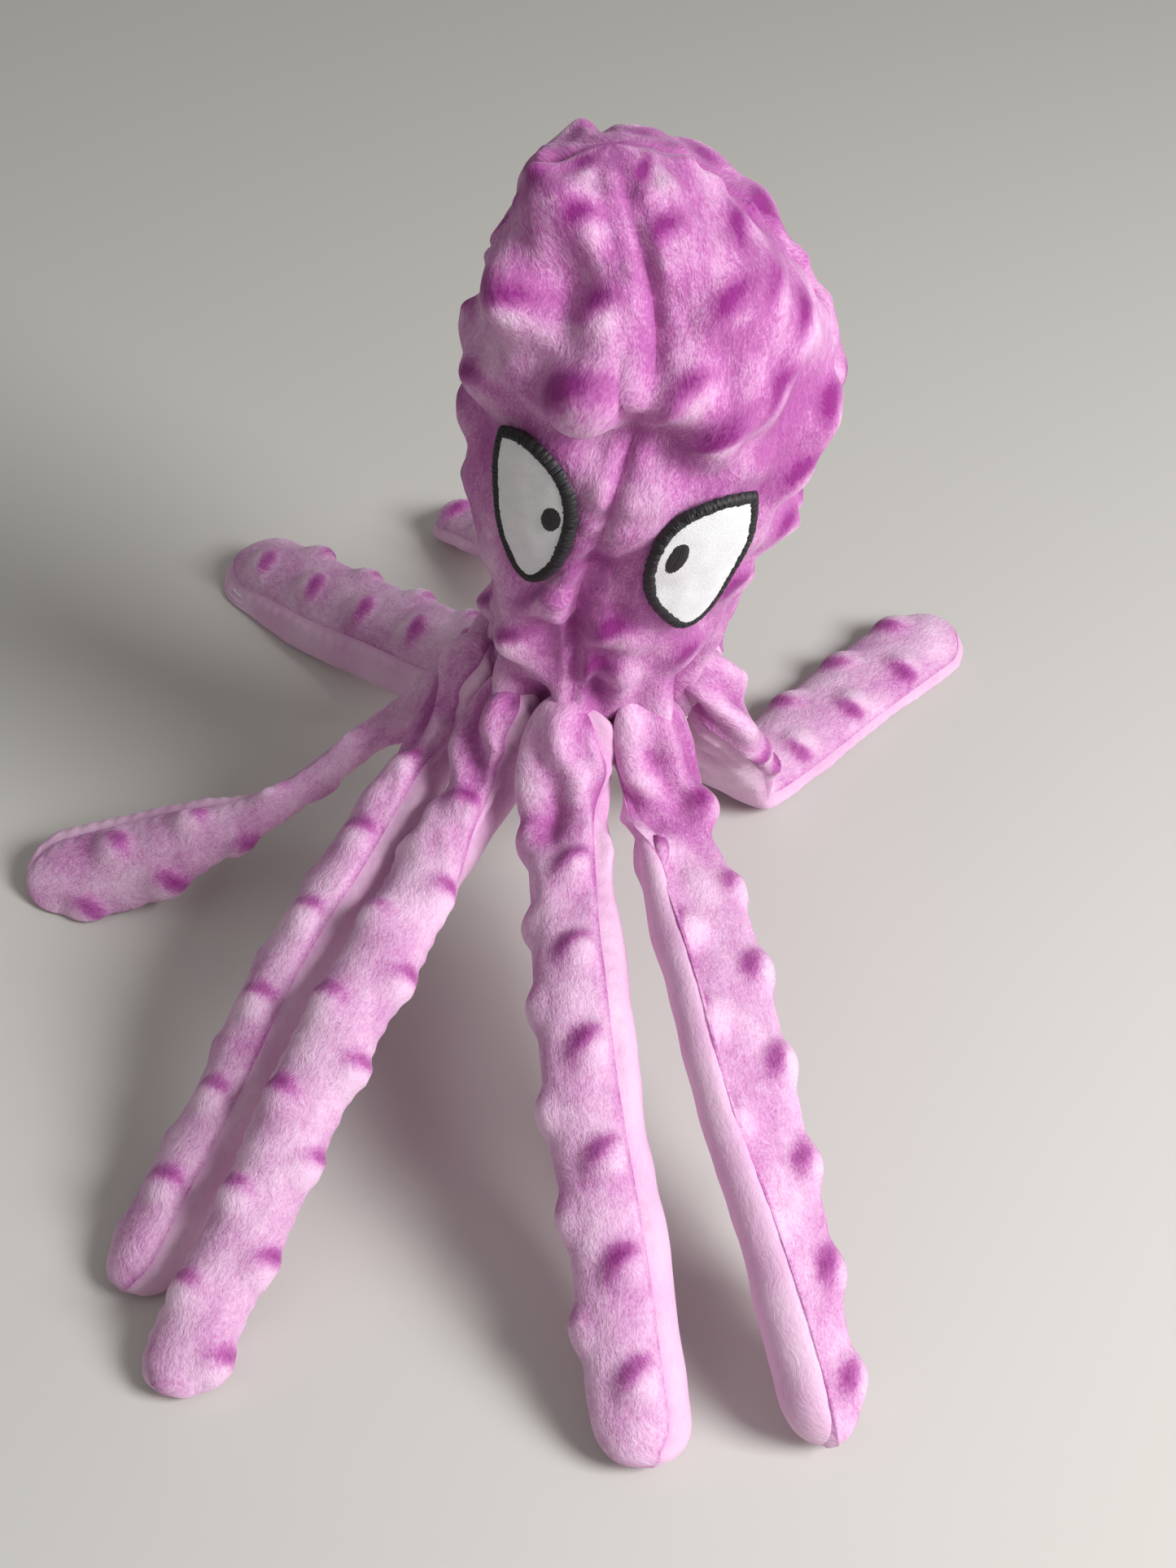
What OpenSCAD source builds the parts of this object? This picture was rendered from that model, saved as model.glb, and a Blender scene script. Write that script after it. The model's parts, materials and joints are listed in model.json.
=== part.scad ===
// Plush octopus toy: a stuffed dotted-plush head with a press squeaker inside, and eight
// flat crinkle legs, each a dotted panel sewn to a plain one.
// Millimetres, +Z up. The face looks along -Y and the toy's own left side is +X.

/* [Head] */
// Height of the stuffed head, from the leg ring to the crown
head_h = 161; // [152:1:170]
// Radius of the head at its widest
head_r = 43.5; // [42:0.5:46]
// Radius of the head where the legs are sewn on
neck_r = 27; // [26:0.5:28]
// Lean of the head towards the toy's left, in degrees
head_lean = 5; // [0:1:7]
// Thickness of the plush cloth, backing and pile together
cloth_t = 2.4; // [1.8:0.1:3]

/* [Legs] */
// Height of the leg ring over the table
ring_z = 68; // [66:1:72]
// Radius of the circle that the leg hinges stand on
root_r = 36; // [36:0.5:38]
// Width of a leg where it is gathered at the ring
root_w = 15; // [13:0.5:16]
// Thickness of a leg: two panels, their pile and the trapped air
leg_t = 11; // [10:0.5:11.5]
// Thickness of the crinkle film in a leg
film_t = 0.5; // [0.3:0.1:0.8]

/* [Eyes] */
// Height of an eye patch with its stitched border
eye_h = 42; // [38:1:46]
// Width of an eye patch with its stitched border
eye_w = 27; // [24:1:32]
// Width of the satin-stitched border
border_w = 3; // [2.5:0.1:4]
// Radius of a stitched pupil
pupil_r = 3.4; // [3:0.1:5]

/* [Squeaker] */
// Radius of the squeaker's bellows
squeaker_r = 16; // [14:0.5:18]
// Height of the bellows when it is not pressed
bellows_h = 16; // [14:0.5:20]
// How far the cap travels when the head is squeezed
press_travel = 8; // [5:0.5:9]

/* [Hidden] */
$fn = 48;

// Where the head's axis meets the table. It centres the outline of the splayed legs on the origin.
stance = [25, 13.3, 0];

// Each leg: the angle of its root on the ring, from the face towards the toy's left,
// its knee, its tip and its full width. Points are measured from the head's axis on the table.
LEGS = [
    [356, [  9, -106, 54], [  32, -190, 3], 27],
    [ 36, [ 45, -104, 48], [  73, -180, 3], 27],
    [ 84, [ 39,   32,  5], [ 104,  113, 5], 27],
    [132, [  0,   88, 40], [ -60,  162, 3], 27],
    [180, [-44,   56, 25], [-128,  126, 3], 27],
    [226, [-85,  -15, 30], [-157,  -24, 3], 26],
    [279, [-67,  -72, 42], [ -98, -155, 3], 21],
    [318, [-52,  -98, 44], [ -82, -181, 3], 21],
];

gap = 0.3;               // clearance between neighbouring soft pieces
hinge_gap = 0.5;         // clearance round a leg's hinge barrel
most_curl = 60;          // the furthest that a knee bends, in degrees
root_z = ring_z - 8;     // height of the leg hinges, just under the ring seam
crown_z = ring_z + head_h;
wide_z = ring_z + 0.6 * head_h;
barrel_r = leg_t / 2 + gap;
gather_h = 8;            // depth of the bunched cloth under the head
profile_steps = 9;

plush = [0.76, 0.45, 0.74];
plush_pale = [0.88, 0.68, 0.86];
thread = [0.08, 0.07, 0.09];
felt_white = [0.93, 0.92, 0.9];
film_grey = [0.8, 0.82, 0.85];
fibre_white = [0.95, 0.94, 0.92];
squeaker_white = [0.9, 0.9, 0.88];

// ---- Head ----

// Radius of the head at height z, for a head drawn in by t all over.
function head_radius(z, t) =
    z < wide_z
        ? neck_r - t + (head_r - neck_r) * sin(90 * (z - ring_z) / (wide_z - ring_z))
        : (head_r - t) * sqrt(max(0, 1 - pow((z - wide_z) / (crown_z - t - wide_z), 1.5)));

// The head's side line from the leg ring to the crown, drawn in by t.
function head_line(t, low = ring_z) = concat(
    [for (i = [0:profile_steps])
        let (z = low + (wide_z - low) * i / profile_steps) [head_radius(z, t), z]],
    [for (i = [1:profile_steps - 1])
        let (z = wide_z + (crown_z - t - wide_z) * sin(90 * i / profile_steps)) [head_radius(z, t), z]],
    [[0, crown_z - t]]
);

function backwards(points) = [for (i = [len(points) - 1:-1:0]) points[i]];

// Leans whatever is on the head about the middle of the leg ring.
module on_head() {
    translate(stance + [0, 0, ring_z])
        rotate([0, head_lean, 0])
            translate([0, 0, -ring_z])
                children();
}

// One of the head's four sewn gores, between the angles start and start + 90.
module gore(start) {
    side = asin(gap / 2 / neck_r);
    color(plush)
        on_head()
            rotate([0, 0, start + side])
                rotate_extrude(angle = 90 - 2 * side)
                    polygon(concat(head_line(0), backwards(head_line(cloth_t))));
}

// A wad of polyester fibre that fills half of the head and leaves room for the squeaker.
module filling(start) {
    line = head_line(cloth_t + gap, ring_z + cloth_t);
    color(fibre_white)
        difference() {
            on_head()
                rotate([0, 0, start + 0.3])
                    rotate_extrude(angle = 179.4)
                        polygon(concat([[0, ring_z + cloth_t]], line));
            translate(stance + [0, 0, squeaker_z - 1.5])
                cylinder(r = squeaker_r + 2, h = bellows_h + 9);
        }
}

// The disc that closes the head between the legs.
module underside_panel() {
    color(plush_pale)
        on_head()
            translate([0, 0, ring_z])
                cylinder(r = neck_r - cloth_t - gap, h = cloth_t - gap);
}

// The bunch of gathered seam allowances that the legs' raw edges end in.
module seam_gather() {
    color(plush)
        on_head()
            translate([0, 0, ring_z - gather_h - gap])
                cylinder(r = neck_r - 6, h = gather_h);
}

// ---- Squeaker ----

squeaker_z = ring_z + 0.36 * head_h;
plate_t = 2;
reed_r = 3;

module squeaker_base() {
    color(squeaker_white)
        translate(stance + [0, 0, squeaker_z])
            difference() {
                cylinder(r = squeaker_r, h = plate_t);
                translate([0, 0, -1])
                    cylinder(r = reed_r + 0.05, h = plate_t + 2);
            }
}

module squeaker_cap() {
    color(squeaker_white)
        translate(stance + [0, 0, squeaker_z + plate_t + bellows_h])
            cylinder(r = squeaker_r, h = plate_t);
}

// The bellows wall: three folds of a thin ring.
module squeaker_bellows() {
    folds = 3;
    fold_h = (bellows_h - 0.2) / folds;
    outer = [for (i = [0:2 * folds]) [squeaker_r - (i % 2 == 0 ? 2.6 : 0.4), 0.1 + i * fold_h / 2]];
    inner = [for (p = backwards(outer)) [p[0] - 0.9, p[1]]];
    color(squeaker_white)
        translate(stance + [0, 0, squeaker_z + plate_t])
            rotate_extrude()
                polygon(concat(outer, inner));
}

// The reed that sounds, pressed into the base.
module squeaker_reed() {
    color(film_grey)
        translate(stance + [0, 0, squeaker_z - 1])
            difference() {
                union() {
                    cylinder(r = reed_r, h = plate_t + 5);
                    cylinder(r = reed_r + 1.2, h = 0.9);
                }
                translate([0, 0, -1])
                    cylinder(r = 1.4, h = plate_t + 8);
            }
}

// ---- Eyes ----

// Outline of an eye in parts of its half-width and half-height, outer side towards +X:
// a corner up and outwards, a nearly straight outer side and a round inner side.
EYE_SHAPE = [
    [0.93, 1], [0.95, 0.6], [0.86, 0.2], [0.7, -0.25], [0.42, -0.7], [0.1, -0.96], [-0.22, -0.98],
    [-0.58, -0.82], [-0.86, -0.5], [-1, -0.1], [-0.9, 0.32], [-0.58, 0.68], [-0.12, 0.9], [0.42, 0.98],
];

// The eye's outline, moved outwards by grow.
function eye_line(grow) =
    [for (p = EYE_SHAPE) [p[0] * (eye_w / 2 + grow), p[1] * (eye_h / 2 + grow)]];

eye_angle = 28;          // angle of each eye from the middle of the face
face_turn = -3;          // how far the face is turned, towards the toy's own right below 0
eye_z = ring_z + 80.5;   // height of the eyes' middles
eye_step = 5.5;          // how much each eye sits above or below that
eye_tilt = 2;            // how far each eye leans outwards at its top

// Puts children, drawn flat with the outer side towards +X, on one side of the face.
module at_eye(side) {
    height = eye_z - side * eye_step;
    on_head()
        rotate([0, 0, side * eye_angle + face_turn])
            translate([0, 0, height])
                rotate([90, 0, 0])
                    mirror([side < 0 ? 1 : 0, 0, 0])
                        rotate([0, 0, -eye_tilt])
                            children();
}

// The layer of space between two distances from the head's cloth.
module head_layer(near, far) {
    on_head()
        rotate_extrude()
            polygon(concat(head_line(-far), backwards(head_line(-near))));
}

module eye_felt(side) {
    color(felt_white)
        intersection() {
            head_layer(0.2, 1.2);
            at_eye(side)
                linear_extrude(height = 80)
                    polygon(eye_line(-1));
        }
}

module eye_border(side) {
    color(thread)
        intersection() {
            head_layer(1.4, 2.6);
            at_eye(side)
                linear_extrude(height = 80)
                    difference() {
                        polygon(eye_line(0));
                        polygon(eye_line(-border_w));
                    }
        }
}

module eye_pupil(side) {
    color(thread)
        intersection() {
            head_layer(1.4, 2.4);
            at_eye(side)
                translate([-5.6, 2, 0])
                    cylinder(r = pupil_r, h = 80);
        }
}

// ---- Legs ----

function root_of(leg) = [root_r * sin(leg[0]), -root_r * cos(leg[0]), root_z];
function azimuth(from, to) = atan2(to[0] - from[0], from[1] - to[1]);
function slope(from, to) = asin((from[2] - to[2]) / norm(to - from));

// Stands children at a point, with their +X along the way to the other and their width level.
module along(from, to) {
    translate(stance + from)
        rotate([0, slope(from, to), azimuth(from, to) - 90])
            children();
}

// A barrel across the leg at its hinge.
module barrel(width, r) {
    translate([0, width / 2, 0])
        rotate([90, 0, 0])
            cylinder(r = r, h = width);
}

// Keeps the dotted half of a leg (side 1) or the plain half (side -1), clear of the film between.
module panel_half(side, room) {
    intersection() {
        children();
        translate([-40, -40, side > 0 ? room : -40])
            cube([260, 80, 40 - room]);
    }
}

// The gathered half of a leg, from the ring to the knee, hollowed where the knee turns.
module upper_panel(leg, side) {
    root = root_of(leg);
    length = norm(leg[1] - root);
    past = 18;
    cradle_r = barrel_r / cos(most_curl / 2) + hinge_gap;
    difference() {
        along(root, leg[1])
            panel_half(side, gap / 2)
                union() {
                    barrel(root_w, barrel_r);
                    linear_extrude(height = leg_t, center = true)
                        polygon([
                            [0, -root_w / 2],
                            [length * 0.8, -leg[3] / 2],
                            [length + past, -leg[3] / 2],
                            [length + past, leg[3] / 2],
                            [length * 0.8, leg[3] / 2],
                            [0, root_w / 2],
                        ]);
                }
        along(leg[1], leg[2]) {
            barrel(120, cradle_r);
            translate([-hinge_gap, -60, -60])
                cube([120, 120, 120]);
        }
        translate([-300, -300, -100])
            cube([600, 600, 100]);
    }
}

// The flat half of a leg, from the knee to its round tip, where it meets the table.
module lower_panel(leg, side) {
    length = norm(leg[2] - leg[1]);
    tip_r = leg[3] / 2;
    room = film_t / 2 + gap / 2;
    intersection() {
        along(leg[1], leg[2])
            panel_half(side, room)
                union() {
                    barrel(leg[3] - 1, barrel_r);
                    linear_extrude(height = leg_t, center = true)
                        union() {
                            translate([0, -tip_r])
                                square([length - tip_r, leg[3]]);
                            translate([length - tip_r, 0])
                                circle(r = tip_r);
                        }
                }
        translate(stance + [-300, -300, 0])
            cube([600, 600, 200]);
    }
}

// The crackling film inside the lower part of a leg.
module crinkle_film(leg) {
    length = norm(leg[2] - leg[1]);
    inset = 3;
    tip_r = leg[3] / 2 - inset;
    color(film_grey)
        along(leg[1], leg[2])
            linear_extrude(height = film_t, center = true)
                union() {
                    translate([inset, -tip_r])
                        square([length - 2 * inset - tip_r, 2 * tip_r]);
                    translate([length - inset - tip_r, 0])
                        circle(r = tip_r);
                }
}

module leg_part(number, part) {
    leg = LEGS[number - 1];
    if (part == "upper_front") color(plush) upper_panel(leg, 1);
    if (part == "upper_back") color(plush_pale) upper_panel(leg, -1);
    if (part == "lower_front") color(plush) lower_panel(leg, 1);
    if (part == "lower_back") color(plush_pale) lower_panel(leg, -1);
    if (part == "crinkle_film") crinkle_film(leg);
}

// ---- The parts by name ----

LEG_PARTS = ["upper_front", "upper_back", "lower_front", "lower_back", "crinkle_film"];

gore(-90);  // head_front_left
gore(180);  // head_front_right
gore(0);  // head_back_left
gore(90);  // head_back_right
underside_panel();
seam_gather();
filling(180);  // filling_front
filling(0);  // filling_back
squeaker_base();
squeaker_bellows();
squeaker_cap();
squeaker_reed();
eye_felt(1);  // left_eye_felt
eye_border(1);  // left_eye_border
eye_pupil(1);  // left_eye_pupil
eye_felt(-1);  // right_eye_felt
eye_border(-1);  // right_eye_border
eye_pupil(-1);  // right_eye_pupil
for (number = [1:len(LEGS)], part = LEG_PARTS)
    leg_part(number, part);
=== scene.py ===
# %% [markdown]
# # A plush octopus toy
# The toy is a stuffed head of dotted plush with eight flat crinkle legs sewn under it.
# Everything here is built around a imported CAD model, the frame: it holds the toy's
# bodies, joints and sizes, and every soft piece below takes its place from it.

# %% Load the frame
import json
import math

import bmesh
import bpy
import numpy as np
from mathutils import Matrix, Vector, noise


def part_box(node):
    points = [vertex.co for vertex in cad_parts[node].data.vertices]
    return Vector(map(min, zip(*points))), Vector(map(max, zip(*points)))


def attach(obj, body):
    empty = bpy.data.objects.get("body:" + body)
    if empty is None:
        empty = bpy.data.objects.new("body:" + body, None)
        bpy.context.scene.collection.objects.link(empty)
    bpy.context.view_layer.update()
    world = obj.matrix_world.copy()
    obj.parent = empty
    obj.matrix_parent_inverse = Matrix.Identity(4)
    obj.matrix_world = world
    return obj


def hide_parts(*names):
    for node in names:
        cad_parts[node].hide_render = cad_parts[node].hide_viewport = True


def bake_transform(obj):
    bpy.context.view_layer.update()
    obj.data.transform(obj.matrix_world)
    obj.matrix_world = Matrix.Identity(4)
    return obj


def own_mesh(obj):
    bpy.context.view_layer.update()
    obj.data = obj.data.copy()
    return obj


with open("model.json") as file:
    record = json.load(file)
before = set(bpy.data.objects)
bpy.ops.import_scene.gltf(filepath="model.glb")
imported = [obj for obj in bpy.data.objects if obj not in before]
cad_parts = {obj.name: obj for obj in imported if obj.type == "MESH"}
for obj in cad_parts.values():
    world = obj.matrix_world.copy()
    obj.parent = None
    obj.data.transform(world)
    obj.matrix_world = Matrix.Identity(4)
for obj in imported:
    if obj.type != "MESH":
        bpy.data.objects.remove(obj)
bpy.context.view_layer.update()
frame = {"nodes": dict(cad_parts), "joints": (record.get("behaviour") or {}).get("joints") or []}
joint_at = {joint["name"]: joint for joint in frame["joints"]}

# %% [markdown]
# ## The camera
# A camera is placed from three plain facts: how far it stands from the head's axis, how
# high it is, and how steeply it looks down. The lens follows from the width of the view.
# The head's axis is the middle of the squeaker inside it.

# %% Camera
MM = 0.001
squeaker_low, squeaker_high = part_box("squeaker_base")
axis_x = (squeaker_low.x + squeaker_high.x) / 2 / MM
axis_y = (squeaker_low.y + squeaker_high.y) / 2 / MM

CAMERA_TURN = math.radians(5)
CAMERA_PITCH = math.radians(43.5)
CAMERA_AWAY = 456
CAMERA_HIGH = 465.5

camera_data = bpy.data.cameras.new("camera")
camera_data.lens = 52.3
camera = bpy.data.objects.new("camera", camera_data)
bpy.context.scene.collection.objects.link(camera)
camera.location = (
    (axis_x + CAMERA_AWAY * math.sin(CAMERA_TURN)) * MM,
    (axis_y - CAMERA_AWAY * math.cos(CAMERA_TURN)) * MM,
    CAMERA_HIGH * MM,
)
camera.rotation_euler = (math.pi / 2 - CAMERA_PITCH, 0, CAMERA_TURN)
bpy.context.scene.camera = camera
print("camera at", [round(c, 3) for c in camera.location])

# %% [markdown]
# ## Floor and light
# A big soft lamp high on the right works like a window: it lights the crest of each fold
# and leaves the far side in shade. A weaker, wider lamp on the left keeps the shade open.

# %% Floor and lamps
def lamp(name, place, aim, size, power, colour):
    """A square area lamp at place, turned towards aim."""
    data = bpy.data.lights.new(name, "AREA")
    data.size = size
    data.energy = power
    data.color = colour
    holder = bpy.data.objects.new(name, data)
    holder.location = place
    holder.rotation_euler = (Vector(aim) - Vector(place)).to_track_quat("-Z", "Y").to_euler()
    bpy.context.scene.collection.objects.link(holder)
    return holder


lamp("window", (0.9, -0.42, 0.72), (0, -0.04, 0.06), 0.5, 16.5, (0.98, 0.99, 1))
lamp("room", (-0.8, -0.6, 0.95), (0, 0, 0.08), 1.1, 1.0, (1, 0.96, 0.93))

world = bpy.data.worlds.new("studio")
world.use_nodes = True
world.node_tree.nodes["Background"].inputs["Color"].default_value = (1, 0.985, 0.97, 1)
world.node_tree.nodes["Background"].inputs["Strength"].default_value = 0.24
bpy.context.scene.world = world
bpy.context.scene.view_settings.view_transform = "Standard"

floor_mesh = bmesh.new()
bmesh.ops.create_grid(floor_mesh, x_segments=2, y_segments=2, size=4)
floor_data = bpy.data.meshes.new("floor")
floor_mesh.to_mesh(floor_data)
floor_mesh.free()
floor = bpy.data.objects.new("floor", floor_data)
bpy.context.scene.collection.objects.link(floor)

floor_paint = bpy.data.materials.new("floor")
floor_paint.use_nodes = True
floor_shader = floor_paint.node_tree.nodes["Principled BSDF"]
floor_shader.inputs["Base Color"].default_value = (0.66, 0.64, 0.6, 1)
floor_shader.inputs["Roughness"].default_value = 0.8
floor.data.materials.append(floor_paint)
print("floor and", len(bpy.data.lights), "lamps")

# %% [markdown]
# ## The pile
# Plush is a knitted backing with millions of short soft fibres. Where the fibres lie
# flat they shine pale, and where the eye looks down into them the dye shows deep. Here that
# sheen and shade are painted into the colour. The colour follows two things: fine streaks
# along the pile, its random grain, and a value stored on the cloth, with some random tone in
# it, that is high where shade is painted, on one side of a dot, in a fold's hollow or in a
# seam, and low where a highlight is painted. Both parts of the toy use them, so they are one
# node group with its own sockets.

# %% Node helpers
# Where a colour Mix node keeps its two colours and its result.
MIX_A, MIX_B, MIX_RESULT = 6, 7, 2


def add_node(tree, kind, **values):
    """A new shader node with its inputs or settings given by name."""
    node = tree.nodes.new(kind)
    for name, value in values.items():
        if name in node.inputs:
            node.inputs[name].default_value = value
        else:
            setattr(node, name, value)
    return node


def maths(tree, operation, first, second):
    """One arithmetic node; each operand is a socket or a number."""
    node = tree.nodes.new("ShaderNodeMath")
    node.operation = operation
    for place, value in enumerate((first, second)):
        if isinstance(value, bpy.types.NodeSocket):
            tree.links.new(value, node.inputs[place])
        else:
            node.inputs[place].default_value = value
    return node.outputs[0]


def new_finish(name):
    """A new material, with its node tree and its shader."""
    material = bpy.data.materials.new(name)
    material.use_nodes = True
    return material, material.node_tree, material.node_tree.nodes["Principled BSDF"]


def two_tones(tree, shader, share, dark, light):
    """Colours a shader from dark, where the share is 0, to light, where it is 1."""
    mix = add_node(tree, "ShaderNodeMix", data_type="RGBA")
    mix.inputs[MIX_A].default_value = (*dark, 1)
    mix.inputs[MIX_B].default_value = (*light, 1)
    tree.links.new(share, mix.inputs["Factor"])
    tree.links.new(mix.outputs[MIX_RESULT], shader.inputs["Base Color"])


def raise_surface(tree, shader, height, strength, distance):
    """Bumps a shader's surface by a height; the distance is in metres."""
    bump = add_node(tree, "ShaderNodeBump", Strength=strength, Distance=distance)
    tree.links.new(height, bump.inputs["Height"])
    tree.links.new(bump.outputs["Normal"], shader.inputs["Normal"])


def streaks(tree, vector, stretch, scale, detail, roughness=0.6):
    """Noise that is drawn out along the first axis of vector."""
    mapping = tree.nodes.new("ShaderNodeMapping")
    mapping.inputs["Scale"].default_value = stretch
    tree.links.new(vector, mapping.inputs["Vector"])
    grain = tree.nodes.new("ShaderNodeTexNoise")
    grain.inputs["Scale"].default_value = scale
    grain.inputs["Detail"].default_value = detail
    grain.inputs["Roughness"].default_value = roughness
    tree.links.new(mapping.outputs["Vector"], grain.inputs["Vector"])
    return grain.outputs["Fac"]


# %% The pile group
# The tone of flat cloth, on a scale that is deep at -0.35 and pale at 1.15.
EVEN_TONE = 0.56


def make_pile_group():
    """Gives the pile's colour and its height from the cloth's UV map, in metres, and from the painted
    shade and tone stored on the cloth.
    """
    group = bpy.data.node_groups.new("Pile", "ShaderNodeTree")
    for name, way, kind in (
        ("Vector", "INPUT", "NodeSocketVector"),
        ("Painted Shade and Tone", "INPUT", "NodeSocketFloat"),
        ("Deep", "INPUT", "NodeSocketColor"),
        ("Body", "INPUT", "NodeSocketColor"),
        ("Pale", "INPUT", "NodeSocketColor"),
        ("Contrast", "INPUT", "NodeSocketFloat"),
        ("Color", "OUTPUT", "NodeSocketColor"),
        ("Height", "OUTPUT", "NodeSocketFloat"),
    ):
        group.interface.new_socket(name, in_out=way, socket_type=kind)
    given = group.nodes.new("NodeGroupInput")
    result = group.nodes.new("NodeGroupOutput")

    # A slow wander bends the streaks, so that they don't run dead straight.
    wander = add_node(group, "ShaderNodeTexNoise", Scale=120, Detail=2)
    group.links.new(given.outputs["Vector"], wander.inputs["Vector"])
    centred = add_node(group, "ShaderNodeVectorMath", operation="SUBTRACT")
    centred.inputs[1].default_value = (0.5, 0.5, 0.5)
    group.links.new(wander.outputs["Color"], centred.inputs[0])
    shortened = add_node(group, "ShaderNodeVectorMath", operation="MULTIPLY")
    shortened.inputs[1].default_value = (0.002, 0.005, 0)
    group.links.new(centred.outputs[0], shortened.inputs[0])
    bent = add_node(group, "ShaderNodeVectorMath", operation="ADD")
    group.links.new(given.outputs["Vector"], bent.inputs[0])
    group.links.new(shortened.outputs[0], bent.inputs[1])

    fibre = streaks(group, bent.outputs[0], (0.5, 1, 1), 2300, 3, 0.65)
    tuft = streaks(group, bent.outputs[0], (0.6, 1, 1), 700, 3)
    patch = streaks(group, bent.outputs[0], (0.7, 1, 1), 85, 2)

    fine = maths(group, "MULTIPLY", maths(group, "SUBTRACT", fibre, 0.5), 1.5)
    broad = maths(group, "MULTIPLY", maths(group, "SUBTRACT", tuft, 0.5), 0.9)
    sheen = maths(group, "MULTIPLY", maths(group, "SUBTRACT", patch, 0.5), 1.5)
    texture = maths(group, "ADD", maths(group, "ADD", fine, broad), sheen)
    lit = maths(group, "MULTIPLY", texture, given.outputs["Contrast"])
    lit = maths(group, "ADD", lit, EVEN_TONE)
    # Painted shade deepens the colour here, and a painted highlight pales it.
    lit = maths(group, "SUBTRACT", lit, given.outputs["Painted Shade and Tone"])

    # From deep to body over the lower half of the value, and on to pale over the upper.
    low = add_node(group, "ShaderNodeMapRange", **{"From Min": -0.35, "From Max": 0.45})
    high = add_node(group, "ShaderNodeMapRange", **{"From Min": 0.35, "From Max": 1.15})
    group.links.new(lit, low.inputs["Value"])
    group.links.new(lit, high.inputs["Value"])
    first = add_node(group, "ShaderNodeMix", data_type="RGBA")
    group.links.new(low.outputs["Result"], first.inputs["Factor"])
    second = add_node(group, "ShaderNodeMix", data_type="RGBA")
    group.links.new(high.outputs["Result"], second.inputs["Factor"])
    blends = ((first, MIX_A, "Deep"), (first, MIX_B, "Body"), (second, MIX_B, "Pale"))
    for node, place, source in blends:
        group.links.new(given.outputs[source], node.inputs[place])
    group.links.new(first.outputs[MIX_RESULT], second.inputs[MIX_A])
    group.links.new(second.outputs[MIX_RESULT], result.inputs["Color"])

    relief = maths(group, "ADD", maths(group, "MULTIPLY", fibre, 0.45), tuft)
    group.links.new(relief, result.inputs["Height"])
    return group


pile_group = make_pile_group()
print("group:", pile_group.name, "nodes:", len(pile_group.nodes))


# %% Plush materials
def plush(name, deep, body, pale, contrast, relief):
    """A plush finish: the pile group feeds the colour and a bump, and a soft sheen edges it."""
    material, tree, shader = new_finish(name)
    pile = tree.nodes.new("ShaderNodeGroup")
    pile.node_tree = pile_group
    pile.inputs["Deep"].default_value = (*deep, 1)
    pile.inputs["Body"].default_value = (*body, 1)
    pile.inputs["Pale"].default_value = (*pale, 1)
    pile.inputs["Contrast"].default_value = contrast
    cloth_map = add_node(tree, "ShaderNodeUVMap", uv_map="Cloth")
    painted_shade_and_tone = add_node(tree, "ShaderNodeAttribute", attribute_name="painted_shade_and_tone")
    tree.links.new(cloth_map.outputs["UV"], pile.inputs["Vector"])
    tree.links.new(painted_shade_and_tone.outputs["Fac"], pile.inputs["Painted Shade and Tone"])
    tree.links.new(pile.outputs["Color"], shader.inputs["Base Color"])
    raise_surface(tree, shader, pile.outputs["Height"], relief, 0.0009)
    shader.inputs["Roughness"].default_value = 0.82
    shader.inputs["Specular IOR Level"].default_value = 0.25
    shader.inputs["Sheen Weight"].default_value = 0.35
    shader.inputs["Sheen Roughness"].default_value = 0.45
    shader.inputs["Sheen Tint"].default_value = (1, 0.82, 0.98, 1)
    return material


# Deep is the colour that painted shade reaches and pale that of a painted highlight; the random grain
# spreads between all three.
DEEP = (0.27, 0.02, 0.21)
BODY = (0.52, 0.16, 0.43)
PALE = (0.84, 0.56, 0.76)
PLAIN_DEEP = (0.52, 0.19, 0.44)
PLAIN_BODY = (0.68, 0.36, 0.59)
PLAIN_PALE = (0.82, 0.56, 0.73)
dotted_plush = plush("dotted plush", DEEP, BODY, PALE, contrast=0.75, relief=0.6)
plain_plush = plush("plain plush", PLAIN_DEEP, PLAIN_BODY, PLAIN_PALE, contrast=0.5, relief=0.35)
print("plush materials:", dotted_plush.name, "and", plain_plush.name)

# %% [markdown]
# ## From a grid to a cloth
# Each panel is a piece of cloth, so it starts as a flat grid, as it was cut. A function
# then says where each corner of the grid lies on the sewn toy. The grid keeps its own
# flat map, so that the nap runs along the panel, and a Solidify modifier gives it the
# thickness of backing and pile.

# %% Cloth helpers
def smooth(start, end, value):
    """Rises from 0 at start to 1 at end with no corners."""
    share = np.clip((value - start) / (end - start), 0, 1)
    return share * share * (3 - 2 * share)


def bell(distance, width):
    """A smooth hump, 1 at no distance and nearly 0 beyond twice the width."""
    return np.exp(-((distance / width) ** 2))


def ripple(places, size, seed):
    """Smooth noise from -1 to 1 at an array of places, with waves of about that size in mm."""
    flat = places.reshape(-1, places.shape[-1]) / size + seed * 7.31
    values = [noise.noise((p[0], p[1], p[2] if len(p) > 2 else seed)) for p in flat]
    return np.array(values).reshape(places.shape[:-1])


def unit(vectors):
    """The same directions, each with a length of 1."""
    return vectors / np.maximum(np.linalg.norm(vectors, axis=-1, keepdims=True), 1e-9)


def walked_line(points):
    """How far along a line each of its points lies, from the first."""
    return np.concatenate([[0], np.cumsum(np.linalg.norm(np.diff(points, axis=0), axis=1))])


def wrapped(angle):
    """The same angle, in degrees from -180 to 180."""
    return (angle + 180) % 360 - 180


def outward(places):
    """The unit normals of a grid: its first direction crossed with its second."""
    return unit(np.cross(np.gradient(places, axis=0), np.gradient(places, axis=1)))


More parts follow.
